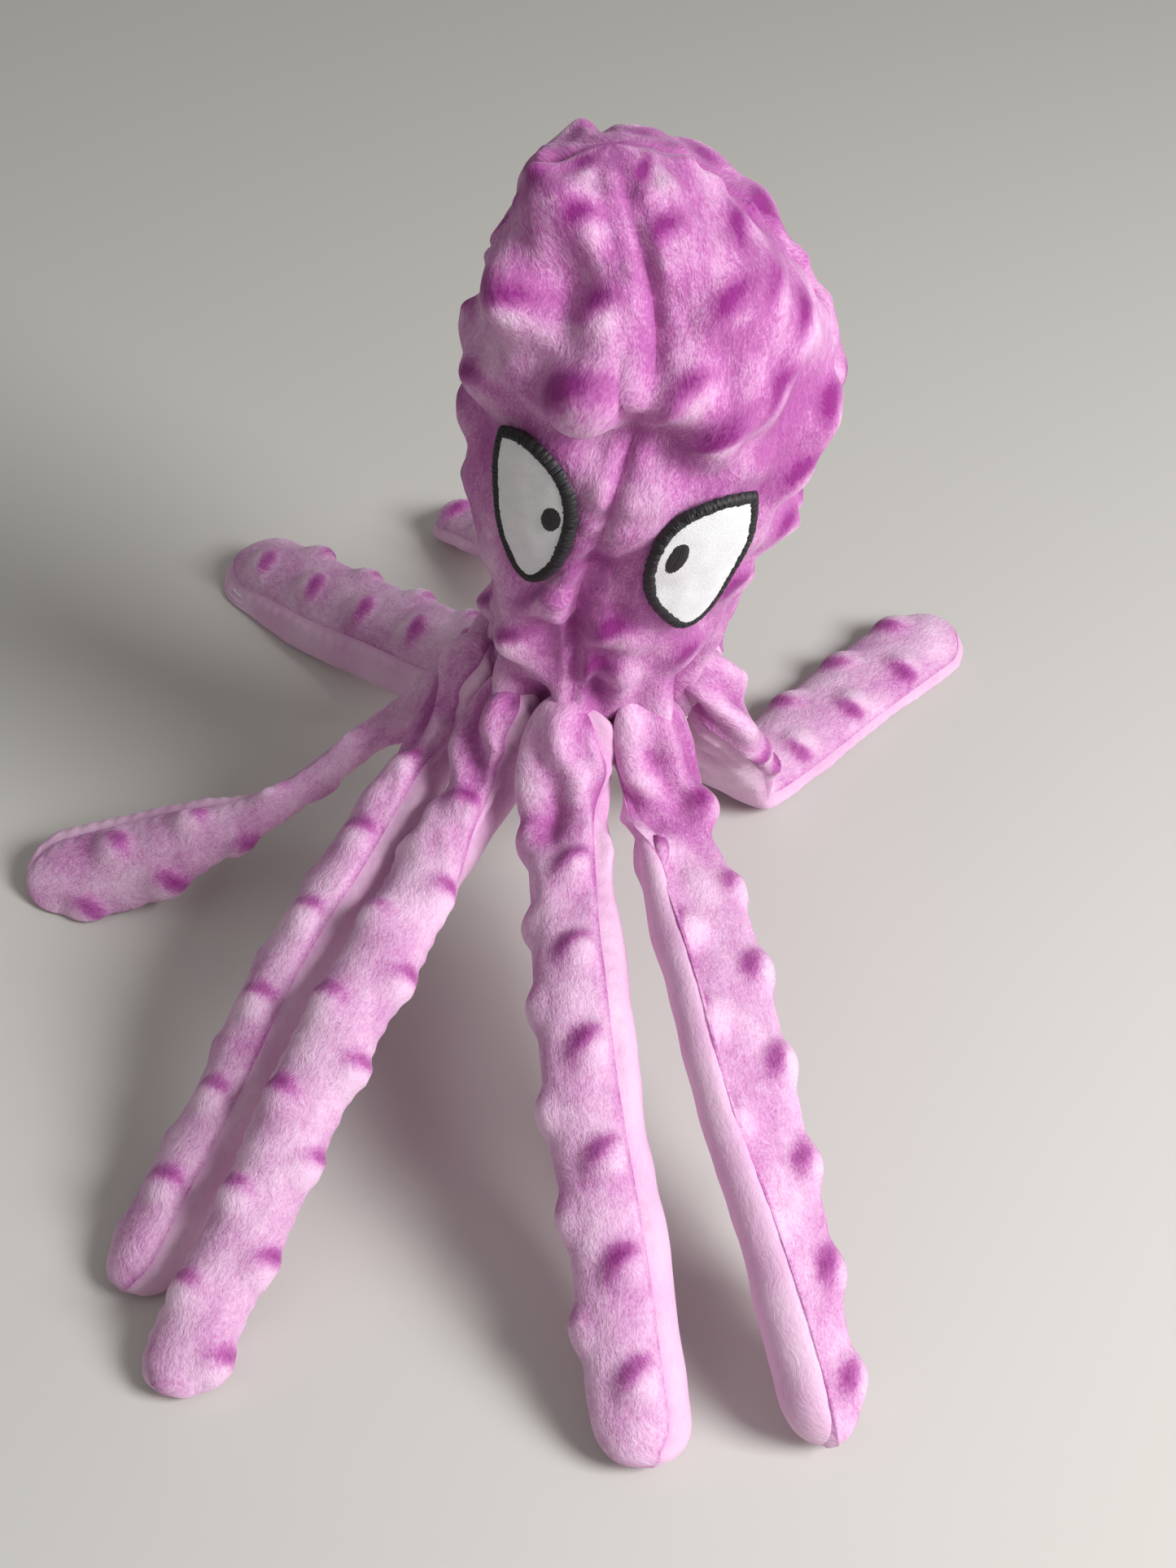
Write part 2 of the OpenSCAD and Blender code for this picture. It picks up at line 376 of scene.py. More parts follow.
def cloth(name, places, flat, painted_shade_and_tone, material, thickness=1.3, close=0.05):
    """A panel whose grid corners lie at places, in mm, with its flat map and the painted shade and tone
    stored on it.
    """
    rows, columns = places.shape[:2]
    sheet = bmesh.new()
    bmesh.ops.create_grid(sheet, x_segments=rows - 1, y_segments=columns - 1, size=0.5)
    cloth_map = sheet.loops.layers.uv.new("Cloth")
    painted_shade_layer = sheet.verts.layers.float.new("painted_shade_and_tone")
    cell = {}
    for vert in sheet.verts:
        row = round((vert.co.x + 0.5) * (rows - 1))
        column = round((vert.co.y + 0.5) * (columns - 1))
        cell[vert] = (row, column)
    for vert, (row, column) in cell.items():
        vert.co = places[row, column] * MM
        vert[painted_shade_layer] = painted_shade_and_tone[row, column]
    for face in sheet.faces:
        face.smooth = True
        for loop in face.loops:
            loop[cloth_map].uv = flat[cell[loop.vert]] * MM
    bmesh.ops.remove_doubles(sheet, verts=sheet.verts, dist=close * MM)
    # An edge of the cloth is kept crisp, so that its rim doesn't darken the surface beside it.
    for edge in sheet.edges:
        edge.smooth = not edge.is_boundary
    mesh = bpy.data.meshes.new(name)
    sheet.to_mesh(mesh)
    sheet.free()
    mesh.materials.append(material)
    piece = bpy.data.objects.new(name, mesh)
    bpy.context.scene.collection.objects.link(piece)
    if thickness:
        wall = piece.modifiers.new("thickness", "SOLIDIFY")
        wall.thickness = thickness * MM
        wall.offset = -1
        wall.use_rim = True
    return piece


# %% [markdown]
# ## The raised dots
# The plush has raised dots in staggered rows, about 12 mm across. Each is a low dome,
# steeper on the side the pile comes from. That side is painted deep, as shade, and the
# other side of the dome gets a painted highlight.

# %% Dots
DOT_R = 6.2
DOT_STEP = 25.0


def dotted(along, across, centres, shaded_way, height, radius=DOT_R):
    """Height and painted shade of the dots with these centres, each (along, across), on a flat map in
    mm.

    Shade is painted on the steep side of a dot, which the fourth argument gives in degrees from the
    root side, and a highlight on the other side."""
    lift = np.zeros_like(along)
    painted_shade_and_tone = np.zeros_like(along)
    cosine = math.cos(math.radians(shaded_way))
    sine = math.sin(math.radians(shaded_way))
    for dot_along, dot_across in centres:
        step = (along - dot_along) * cosine + (across - dot_across) * sine
        side = (across - dot_across) * cosine - (along - dot_along) * sine
        away = np.sqrt((step / np.where(step < 0, 0.85, 1.15)) ** 2 + (side / 1.1) ** 2)
        lift += height * (1 - smooth(0.15, 1.3, away / radius))
        # A crescent of painted shade on the dot's steep side, and a painted highlight on its gentle
        # side.
        crescent = (step + 2.7 - 0.05 * side**2) / 0.85
        painted_shade_and_tone += 0.95 * bell(np.sqrt(crescent**2 + (side / 1.9) ** 2), 2.5)
        painted_shade_and_tone -= 0.36 * bell(np.sqrt((step - 2.6) ** 2 + (side / 1.2) ** 2), 3.2)
    return lift, painted_shade_and_tone


def staggered(length, rows, step=DOT_STEP, start=0.0):
    """Dot centres down a panel: rows gives each row's place across, and every other one is offset."""
    centres = []
    for number, across in enumerate(rows):
        first = start + (number % 2) * step / 2
        count = int((length - first) / step) + 1
        centres += [(first + step * turn, across) for turn in range(count)]
    return centres


print("dots every", DOT_STEP, "mm")

# %% [markdown]
# ## The head
# The head is four tapering panels of dotted plush, sewn edge to edge from the neck to the
# crown and stuffed tight. It leans a little, swells to a brow, and its neck is drawn in by
# a thread. One function gives its broad form, so the panels, the eyes and the filling all
# agree on where the cloth is.

# %% Broad form of the head
RING_Z = 68.0
NECK_R = 27.0
HEAD_H = 161.0
HEAD_R = 43.5
EYE_TURN = 28.0
FACE_TURN = -3.0
EYE_HIGH = 76.8
EYE_STEP = 5.6
FELT_REACH = 13
FELT_RISE = 21
BROW_AT = 0.685
ROOM = 3.2
LEAN = math.tan(math.radians(5))


def head_radius(share):
    """The head's radius at a share of its height."""
    rising = NECK_R + (HEAD_R - NECK_R) * np.sin(np.clip(share / 0.6, 0, 1) * math.pi / 2)
    above = np.clip((share - 0.6) / 0.4, 0, 1)
    falling = HEAD_R * np.sqrt(np.clip(1 - above**1.6, 0, 1))
    return np.where(share < 0.6, rising, falling)


def eye_mask(share, turn):
    """1 near an eye patch, where felt holds the cloth flat, and 0 away from it."""
    mask = np.zeros_like(share)
    for side in (1, -1):
        high = (EYE_HIGH - side * EYE_STEP) / HEAD_H
        around = wrapped(turn - side * EYE_TURN - FACE_TURN)
        across = np.radians(around) * head_radius(share)
        away = np.hypot(across / FELT_REACH, (share - high) * HEAD_H / FELT_RISE)
        mask = np.maximum(mask, 1 - smooth(0.85, 1.35, away))
    return mask


def head_form(share, turn):
    """Points of the broad form; turn is in degrees from the middle of the face towards +X."""
    turn = wrapped(turn)
    # The panels start a little inside the head's size, because stuffing and dots stand out.
    radius = head_radius(share) * (1 - ROOM / HEAD_R)
    aside = turn + 8
    quiet = 1 - eye_mask(share, turn)
    face = bell(aside, 26) * quiet
    crease = share - BROW_AT
    notch = 1 - 0.55 * bell(aside, 5)
    radius = radius + 5.4 * face * bell(crease - 0.05, 0.05) * notch
    radius = radius - 5.0 * face * bell(crease + 0.025, 0.04)
    cheeks = smooth(0.1, 0.2, share) * (1 - smooth(0.4, 0.5, share))
    radius = radius - 1.6 * bell(aside, 50) * cheeks
    radius = radius + 2.0 * bell(np.abs(aside) - 8, 5) * bell(share - 0.38, 0.17) * quiet
    # Seen from the front the left side is full at the top and hollow above the neck.
    from_left = wrapped(turn + 95)
    radius = radius + 4.2 * bell(from_left, 55) * bell(share - 0.7, 0.14)
    radius = radius - 6.5 * bell(from_left, 60) * bell(share - 0.24, 0.17)
    # A crown of four soft corners, because four panels meet there.
    radius = radius * (1 - 0.05 * smooth(0.7, 0.95, share) * np.cos(np.radians(4 * turn)))
    shift = 6.8 * bell(share - 0.62, 0.24) - 9.5 * smooth(0.72, 1.0, share)
    angle = np.radians(turn)
    x = axis_x + LEAN * HEAD_H * share + shift + radius * np.sin(angle)
    y = axis_y - radius * np.cos(angle)
    z = RING_Z + HEAD_H * share - 1.2 * smooth(0.55, 1.0, share) + np.zeros_like(x)
    return np.stack([x, y, z], -1)


def form_normal(share, turn):
    """Which way is out of the cloth, at points of the broad form."""
    low = head_form(np.clip(share - 0.004, 0, 1), turn)
    high = head_form(np.clip(share + 0.004, 0, 0.999), turn)
    below_crown = np.clip(share, 0, 0.995)
    beside = head_form(below_crown, turn + 0.5) - head_form(below_crown, turn - 0.5)
    normal = unit(np.cross(beside, high - low))
    near_crown = smooth(0.985, 0.998, share)[..., None]
    return normal * (1 - near_crown) + np.array([0, 0, 1.0]) * near_crown


def head_twist(share):
    """How far the panels' seams wander round the head, in degrees."""
    return -5 - 5 * bell(share - 0.35, 0.25) + 20 * smooth(0.62, 0.92, share)


profile_share = np.linspace(0, 1, 2001)
profile_step = np.hypot(np.diff(head_radius(profile_share)), np.diff(profile_share) * HEAD_H)
profile_walk = np.concatenate([[0], np.cumsum(profile_step)])
GORE_LONG = profile_walk[-1]
print(f"a panel is {GORE_LONG:.0f} mm from neck to crown")

# %% [markdown]
# ## Filling the head
# Stuffing pushes each panel out between its seams. A cloth simulation does this on a
# coarse copy of the head: its seams and neck are pinned, air pressure swells the rest, and
# the distance each point moves is kept as a small table that the fine panels read.

# %% Swell the panels
SWELL_ROWS = 40
SWELL_TURNS = 48
SWELL_CAP = 4.5


def swollen():
    """How far stuffing pushes the cloth out, in mm, by share of the height and turn."""
    shares = np.interp(np.linspace(0, GORE_LONG, SWELL_ROWS), profile_walk, profile_share)
    amount = np.zeros((SWELL_ROWS, SWELL_TURNS + 1))
    tube = bmesh.new()
    bmesh.ops.create_grid(tube, x_segments=SWELL_ROWS - 1, y_segments=SWELL_TURNS, size=0.5)
    cell = {}
    for vert in tube.verts:
        row = round((vert.co.x + 0.5) * (SWELL_ROWS - 1))
        column = round((vert.co.y + 0.5) * SWELL_TURNS)
        cell[vert.index] = (row, column)
        spot = head_form(shares[row], column * 360 / SWELL_TURNS)
        vert.co = spot * MM
    bmesh.ops.remove_doubles(tube, verts=tube.verts, dist=0.00001)
    bmesh.ops.recalc_face_normals(tube, faces=tube.faces)
    mesh = bpy.data.meshes.new("swell")
    tube.to_mesh(mesh)
    tube.free()
    form = bpy.data.objects.new("swell", mesh)
    bpy.context.scene.collection.objects.link(form)
    start = np.array([vert.co for vert in mesh.vertices]) / MM
    normals = np.array([vert.normal for vert in mesh.vertices])
    spot_of = {}
    for row in range(SWELL_ROWS):
        for column in range(SWELL_TURNS):
            where = head_form(shares[row], column * 360 / SWELL_TURNS)
            spot_of[row, column] = int(np.argmin(((start - where) ** 2).sum(1)))
    held = form.vertex_groups.new(name="held")
    for (row, column), index in spot_of.items():
        if column % 12 == 0 or row in (0, 1, SWELL_ROWS - 1):
            held.add([index], 1.0, "REPLACE")
    stuffing = form.modifiers.new("stuffing", "CLOTH")
    stuffing.settings.vertex_group_mass = "held"
    stuffing.settings.effector_weights.gravity = 0
    stuffing.settings.use_pressure = True
    stuffing.settings.uniform_pressure_force = 4
    stuffing.settings.quality = 6
    stuffing.settings.tension_stiffness = 12
    stuffing.settings.shrink_min = -0.04
    for frame_number in range(1, 21):
        bpy.context.scene.frame_set(frame_number)
    shape = form.evaluated_get(bpy.context.evaluated_depsgraph_get())
    ended = np.array([vert.co for vert in shape.data.vertices]) / MM
    bpy.context.scene.frame_set(1)
    out = ((ended - start) * normals).sum(1)
    for (row, column), index in spot_of.items():
        amount[row, column] = np.clip(out[index], -1.0, SWELL_CAP)
    amount[:, -1] = amount[:, 0]
    bpy.data.objects.remove(form)
    return amount


swell_table = swollen()
print(f"the cloth stands up to {swell_table.max():.1f} mm out between its seams")

# %% [markdown]
# ## Four panels
# Each panel is a quarter of the head. Its flat map runs from the crown down, as the nap
# does, and the raised dots sit on that map in staggered columns that the side seams cut
# through. The cloth dips into each seam with small puckers, the neck is gathered into
# upright folds, and it runs on below the thread as a hem between the roots of the legs.

# %% Panels of the head
# Where each leg leaves the head, in degrees, and how far cloth swells under felt, in mm.
LEG_ROOTS = [-4, 36, 84, 132, 180, -134, -81, -42]
UNDER_FELT = 1.8


def panel_swell(share, turn):
    """Reads the swell table between its rows and columns."""
    row = np.interp(share, profile_share, profile_walk) / GORE_LONG * (SWELL_ROWS - 1)
    column = (turn % 360) / 360 * SWELL_TURNS
    r0 = np.clip(row.astype(int), 0, SWELL_ROWS - 2)
    c0 = np.clip(column.astype(int), 0, SWELL_TURNS - 1)
    fr, fc = row - r0, column - c0
    near = swell_table[r0, c0] * (1 - fc) + swell_table[r0, c0 + 1] * fc
    far = swell_table[r0 + 1, c0] * (1 - fc) + swell_table[r0 + 1, c0 + 1] * fc
    return near * (1 - fr) + far * fr


def soft_swell(share, turn):
    """The swell, evened out over a small neighbourhood and steady where felt lies."""
    total = 0
    for up in (-0.035, 0, 0.035):
        for beside in (-7.5, 0, 7.5):
            total = total + panel_swell(np.clip(share + up, 0, 1), turn + beside)
    felt = eye_mask(share, turn)
    return total / 9 * (1 - felt) + UNDER_FELT * felt


# Dots of each panel, as (mm from the crown, mm from its middle seam).
HEAD_DOTS = {
    "front_left": [
        (14, 8), (29, 7), (36, 29), (46, 18), (57, 42), (61, 8), (73, 21), (67, 34), (79, 58),
        (92, 51), (112, 57), (133, 11), (147, 33), (127, 45), (150, 8), (35, 45),
    ],
    "front_right": [
        (11, 8), (26, 11), (28, 31), (47, 31), (44, 12), (62, 16), (71, 41), (63, 57), (88, 57),
        (112, 54), (123, 9), (140, 15), (150, 41), (133, 48),
    ],
}
# Where the cloth is bunched over the brow, given in the same way.
BROW_KNOTS = {"front_left": [(70, 20), (48, 30)], "front_right": [(63, 14), (22, 20), (45, 34)]}
BACK_DOTS = staggered(170, [8, 25, 42, 59], step=27, start=16)


def fold_phase(turn):
    """Goes once through a full turn, in degrees, from each leg's root to the next."""
    roots = sorted(root % 360 for root in LEG_ROOTS)
    stops = [roots[-1] - 360, *roots, roots[0] + 360]
    return np.interp(turn % 360, stops, [360 * step for step in range(len(stops))])


def head_cloth(which, share, turn, flat_turn, seam_gap):
    """Height, painted shade and tone, and flat map of a head panel, in mm."""
    along = GORE_LONG - np.interp(share, profile_share, profile_walk)
    across = np.radians(flat_turn) * head_radius(share)
    quiet = 1 - eye_mask(share, turn)
    rows = HEAD_DOTS.get(which, BACK_DOTS)
    # The side of each dot that gets painted shade, in degrees.
    shaded_way = 30 if which in ("front_left", "back_right") else -30
    high = 3.3 if which in HEAD_DOTS else 1.7
    dot_lift, dot_painted_shade = dotted(along, across, rows, shaded_way, high, 8.0)
    dot_lift = dot_lift * (0.1 + 0.9 * smooth(12, 50, along))
    knot_lift, knot_painted_shade = dotted(along, across, BROW_KNOTS.get(which, []), shaded_way, 4.2, 11)
    dot_lift, dot_painted_shade = dot_lift + knot_lift, dot_painted_shade + 0.6 * knot_painted_shade
    at_seam = smooth(0, 4.5, seam_gap)
    angle = np.radians(turn)
    seed_map = np.stack([along, np.sin(angle) * 40, np.cos(angle) * 40], -1)
    lift = dot_lift * quiet * at_seam
    painted_shade_and_tone = dot_painted_shade * quiet * at_seam
    broad = ripple(seed_map, 26, 5) * quiet
    small = ripple(seed_map, 11, 9) * quiet
    calm = 0.45 + 0.55 * smooth(15, 45, along)
    lift = lift + (4.0 * broad + 2.4 * small) * calm
    # Painted shade in the hollows of the ripples and a painted highlight on their crests, over a random
    # tone.
    painted_shade_and_tone = painted_shade_and_tone + 0.15 + 0.22 * ripple(seed_map, 20, 11) - 0.24 * broad - 0.26 * small
    tight = 0.55 + 0.8 * ripple(seed_map * [1, 0, 0], 24, 21)
    lift = lift - 1.9 * tight * bell(seam_gap, 1.7) + 0.5 * bell(seam_gap - 4, 2.2)
    pucker = np.sin(along * 2 * math.pi / 8.5 + 2 * ripple(seed_map * [1, 0, 0], 20, 3))
    lift = lift + 0.55 * pucker * bell(seam_gap - 3, 3) * smooth(0.2, 0.3, share)
    # Painted shade in the seam's groove.
    painted_shade_and_tone = painted_shade_and_tone + 0.38 * tight * bell(seam_gap, 1.1)
    # Folds where the thread draws the neck in: a big one over each leg and smaller ones between.
    sway = 18 * share * np.sin(np.radians(turn * 3 + 40))
    bent = turn + 16 * ripple(seed_map, 30, 13) + sway
    big = np.cos(np.radians(fold_phase(bent)))
    lesser = ripple(seed_map * [0.5, 1, 1], 11, 17)
    drawn = 1 - smooth(0.05, 0.36, share)
    near_thread = 1 - smooth(0.08, 0.34, share)
    lift = lift + drawn * (2.2 * big - 0.9) + near_thread * 5.0 * lesser * quiet
    # The neck folds get a painted highlight on their crests and painted shade in their hollows.
    painted_shade_and_tone = painted_shade_and_tone - 0.22 * drawn * big - 0.5 * near_thread * lesser
    return lift, painted_shade_and_tone, np.stack([along, across], -1)


# Each panel's middle seam, in degrees, and the way it runs round the head from there.
HEAD_PANELS = {
    "front_left": (0, 1),
    "back_left": (180, -1),
    "back_right": (180, 1),
    "front_right": (0, -1),
}
PANEL_ROWS = 178
PANEL_COLUMNS = 70
HEM = 13
head_pieces = []


def head_panel(which):
    """Makes one panel of the head with its hem below the gathered neck."""
    middle, way = HEAD_PANELS[which]
    flat_turn = np.linspace(0, 90, PANEL_COLUMNS)
    turn = middle + way * flat_turn
    walk = np.linspace(0, GORE_LONG, PANEL_ROWS - HEM)
    share = np.interp(walk, profile_walk, profile_share)
    share, turn = np.meshgrid(share, turn, indexing="ij")
    turn = turn + head_twist(share)
    flat = np.repeat(flat_turn[None, :], len(share), 0)
    radius = head_radius(share)
    gap = np.minimum(np.radians(flat), np.radians(90 - flat)) * radius
    places = head_form(share, turn)
    lift, painted_shade_and_tone, cloth_map = head_cloth(which, share, turn, flat, gap)
    lift = lift + soft_swell(share, turn)
    fade = smooth(1.0, 0.955, share)
    angle = np.radians(turn[:, :, None])
    sideways = np.concatenate([np.sin(angle), -np.cos(angle), np.zeros_like(angle)], -1)
    normal = form_normal(share, turn)
    places = places + normal * (lift * fade - 2.4 * (1 - fade))[..., None]
    # The hem flares out below the thread and dips between the legs.
    hem_turn = turn[0]
    nearest = np.min([np.abs(wrapped(hem_turn - root)) for root in LEG_ROOTS], axis=0)
    dip = 4 + 9 * smooth(8, 21, nearest)
    rows = []
    for step in range(HEM, 0, -1):
        part = step / HEM
        down = dip * part
        out = (8.5 * smooth(9, 20, nearest) - 5.5) * part
        rows.append(places[0] + sideways[0] * out[:, None] - np.stack([0 * down, 0 * down, down], -1))
    places = np.concatenate([np.array(rows), places])
    hem_map = [cloth_map[0] + [dip.mean() * step / HEM, 0] for step in range(HEM, 0, -1)]
    cloth_map = np.concatenate([np.array(hem_map), cloth_map])
    painted_shade_and_tone = np.concatenate([np.repeat(painted_shade_and_tone[:1] + 0.12, HEM, 0), painted_shade_and_tone])
    if way < 0:
        places, cloth_map, painted_shade_and_tone = places[:, ::-1], cloth_map[:, ::-1], painted_shade_and_tone[:, ::-1]
    places, cloth_map, painted_shade_and_tone = places[::-1], cloth_map[::-1], painted_shade_and_tone[::-1]
    piece = cloth(f"head_{which}_panel", places, cloth_map, painted_shade_and_tone, dotted_plush, 1.5)
    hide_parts(f"head_{which}")
    head_pieces.append(piece)
    return piece


for which in HEAD_PANELS:
    piece = head_panel(which)
    print(piece.name, len(piece.data.polygons), "faces")

# %% [markdown]
# ## Eyes
# An eye is a patch of white felt with one pointed corner, sewn down by a border of black
# satin stitch. The border is narrow on the straight outer side and wide on the round inner
# side. A pupil is a small oval of the same stitch. All of them are laid on the head's broad
# form, so that they curve as it does.

# %% Eye finishes
def felt_finish():
    """White felt: short tangled fibres, a little uneven in tone."""
    material, tree, shader = new_finish("white felt")
    cloth_map = add_node(tree, "ShaderNodeUVMap", uv_map="Cloth")
    tangle = streaks(tree, cloth_map.outputs["UV"], (1, 1, 1), 1700, 5, 0.7)
    cloud = streaks(tree, cloth_map.outputs["UV"], (1, 1, 1), 160, 2)
    tone = maths(tree, "ADD", maths(tree, "MULTIPLY", tangle, 0.6), maths(tree, "MULTIPLY", cloud, 0.4))
    ramp = add_node(tree, "ShaderNodeMapRange", **{"From Min": 0.3, "From Max": 0.7})
    tree.links.new(tone, ramp.inputs["Value"])
    two_tones(tree, shader, ramp.outputs["Result"], (0.70, 0.70, 0.71), (0.90, 0.90, 0.91))
    raise_surface(tree, shader, tangle, 0.6, 0.0004)
    shader.inputs["Roughness"].default_value = 0.95
    shader.inputs["Specular IOR Level"].default_value = 0.15
    shader.inputs["Sheen Weight"].default_value = 0.2
    return material


def thread_finish():
    """Black satin stitch: threads lie side by side across the border and gleam softly."""
    material, tree, shader = new_finish("black thread")
    cloth_map = add_node(tree, "ShaderNodeUVMap", uv_map="Cloth")
    strands = streaks(tree, cloth_map.outputs["UV"], (1, 0.12, 1), 3200, 3, 0.6)
    ramp = add_node(tree, "ShaderNodeMapRange", **{"From Min": 0.35, "From Max": 0.75})
    rough = add_node(tree, "ShaderNodeMapRange", **{"To Min": 0.38, "To Max": 0.7})
    tree.links.new(strands, ramp.inputs["Value"])
    tree.links.new(strands, rough.inputs["Value"])
    tree.links.new(rough.outputs["Result"], shader.inputs["Roughness"])
    # The lighter strands are partly the threads' own tone and partly a painted highlight along them;
    # their gleam also comes from the roughness.
    two_tones(tree, shader, ramp.outputs["Result"], (0.006, 0.005, 0.007), (0.03, 0.027, 0.03))
    raise_surface(tree, shader, strands, 0.7, 0.0003)
    return material


white_felt = felt_finish()
black_thread = thread_finish()
print("eye finishes:", white_felt.name, "and", black_thread.name)

# %% Outline of an eye
# The right eye sits a little further round than the left, by so many degrees.
RIGHT_FURTHER = 1.7
EYE_LINE = [
    (11.5, 19), (11.7, 8), (9.6, -1), (6, -10), (1.5, -17.5), (-3.0, -20), (-7.5, -15.5),
    (-10.5, -8.5), (-12, 0), (-11.2, 8), (-7.6, 15), (-2, 19), (4.5, 20.6),
]


def eye_outline(points=420):
    """A closed smooth line through the outline's points, with its pointed corner kept."""
    corners = np.array(EYE_LINE + EYE_LINE[:1], float)
    walked = walked_line(corners)
    stops = np.linspace(0, walked[-1], points, endpoint=False)
    line = np.stack([np.interp(stops, walked, corners[:, axis]) for axis in (0, 1)], 1)
    soft = line.copy()
    for turn in range(260):
        mean = (np.roll(soft, 1, 0) + soft + np.roll(soft, -1, 0)) / 3
        corner = np.hypot(*(line - corners[0]).T)
        keep = bell(corner, 2.2)[:, None]
        soft = mean * (1 - keep) + soft * keep
    return soft


def on_eye(side, flat, raised, tall=1.0):
    """Lays flat points (mm from the eye's middle, +X outwards) on the head, raised by so many mm."""
    share = (EYE_HIGH - side * EYE_STEP + flat[..., 1] * tall) / HEAD_H
    radius = head_radius(share)
    eye_turn = EYE_TURN + (RIGHT_FURTHER if side < 0 else 0.0)
    turn = FACE_TURN + side * (eye_turn + np.degrees(flat[..., 0] / radius))
    spot = head_form(share, turn)
    normal = form_normal(share, turn)
    puff = soft_swell(share, turn)
    return spot + normal * (puff + raised)[..., None]


# %% Patches, borders and pupils
def eye_grid(side, name, flat, raised, cloth_map, material, thickness, tall):
    """Makes an eye piece from a grid whose rows go outwards and whose columns go round."""
    flat = np.concatenate([flat, flat[:, :1]], 1)
    raised = np.concatenate([raised, raised[:, :1]], 1)
    cloth_map = np.concatenate([cloth_map, cloth_map[:, -1:] * 2 - cloth_map[:, -2:-1]], 1)
    places = on_eye(side, flat, raised, tall)
    painted_shade_and_tone = np.zeros(flat.shape[:2])
    if side > 0:
        places, cloth_map = places[:, ::-1], cloth_map[:, ::-1]
    places, cloth_map = places[:, ::-1], cloth_map[:, ::-1]
    return cloth(name, places, cloth_map, painted_shade_and_tone, material, thickness, 0.01)


def eye_pieces(side):
    """The felt patch, the stitched border and the pupil of the eye on one side."""
    word = "left" if side > 0 else "right"
    tall = 1.04 if side > 0 else 1.0
    broad = 1.06 if side > 0 else 0.97
    line = eye_outline() * [broad, 1.0]
    if side > 0:
        line[:, 0] += 1.6 - 0.24 * line[:, 1] + 1.5 * smooth(-2, -16, line[:, 1])
    made = []
    rings = np.linspace(0, 1, 40)[:, None, None]
    inner = line - (line - line.mean(0)) * 0.07
    felt = line.mean(0) + (inner[None] - line.mean(0)) * rings
    bumps = 0.25 * ripple(felt + side * 50, 6, 2)
    patch = eye_grid(side, f"{word}_eye_patch", felt, 1.7 + bumps, felt, white_felt, 0.9, tall)
    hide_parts(f"{word}_eye_felt")
    made.append(patch)

    ahead = np.roll(line, -1, 0) - np.roll(line, 1, 0)
    across = unit(np.stack([ahead[:, 1], -ahead[:, 0]], 1))
    if (across * line).sum(1).mean() < 0:
        across = -across
    run = walked_line(line)
    inner_side = smooth(6, -9, line[:, 0]) * smooth(24, 6, line[:, 1])
    lower_side = smooth(-6, -18, line[:, 1])
    wide = 1.1 + (0.1 if side > 0 else 0.8) * np.maximum(inner_side, lower_side * 0.6)
    ragged = 0.45 * ripple(np.stack([run, 0 * run], 1), 0.9, side * 3)
    ragged_in = 0.45 * ripple(np.stack([run, 0 * run + 9], 1), 0.8, side * 4)
    part = np.linspace(0, 1, 14)[:, None, None]
    outer_edge = line + across * (0.5 + ragged)[:, None]
    inner_edge = line - across * (wide + ragged_in)[:, None]
    band = inner_edge[None] * (1 - part) + outer_edge[None] * part
    dome = np.sin(part[..., 0] * math.pi) ** 0.6
    thread = 0.1 * np.sin(run * 2 * math.pi / 0.62)[None, :]
    high = 1.3 + 0.95 * dome + thread * dome
    band_map = np.stack([np.repeat(run[None], 14, 0), part[..., 0] * wide[None]], -1)
    name = f"{word}_eye_border_stitch"
    border = eye_grid(side, name, band, high, band_map, black_thread, 0.8, tall)
    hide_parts(f"{word}_eye_border")
    made.append(border)

    spot = (-6.4, 6.2) if side > 0 else (-6.3, 3.0)
    circle = np.linspace(0, 2 * math.pi, 120, endpoint=False)
    edge = np.stack([2.7 * np.cos(circle), (4.8 if side > 0 else 4.0) * np.sin(circle)], 1)
    edge *= (1 + 0.05 * ripple(edge, 0.9, side + 6))[:, None]
    discs = np.linspace(0, 1, 16)[:, None, None]
    pupil_flat = edge[None] * discs + np.array(spot)
    fall = np.clip(1 - discs[..., 0] ** 3, 0, 1) ** 0.6
    pupil_map = edge[None] * discs
    ridges = 0.1 * np.sin(pupil_map[..., 0] * 2 * math.pi / 0.6)
    raised = 2.2 + (0.8 + ridges) * fall
    name = f"{word}_eye_pupil_stitch"
    pupil = eye_grid(side, name, pupil_flat, raised, pupil_map, black_thread, 0.6, tall)
    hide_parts(f"{word}_eye_pupil")
    made.append(pupil)
    return made


for side in (1, -1):
    made = eye_pieces(side)
    head_pieces += made
    print([piece.name for piece in made])

# %% [markdown]
# ## Plain finishes for what is inside
# Fibre, film and moulded plastic are hidden in the toy, but each has its own surface: the
# fibre is matt and tangled, the film is thin and shiny, and the plastic is faintly grained.

# %% Finishes for the inside
def soft_finish(name, dark, light, scale, roughness, relief):
    """A finish with a tangled or grained surface, from the Object coordinates."""
    material, tree, shader = new_finish(name)
    place = tree.nodes.new("ShaderNodeTexCoord")
    grain = streaks(tree, place.outputs["Object"], (1, 1, 1), scale, 4)
    least, most = roughness - 0.08, roughness + 0.08
    rough = add_node(tree, "ShaderNodeMapRange", **{"To Min": least, "To Max": most})
    tree.links.new(grain, rough.inputs["Value"])
    tree.links.new(rough.outputs["Result"], shader.inputs["Roughness"])
    two_tones(tree, shader, grain, dark, light)
    raise_surface(tree, shader, grain, relief, 0.0006)
    return material


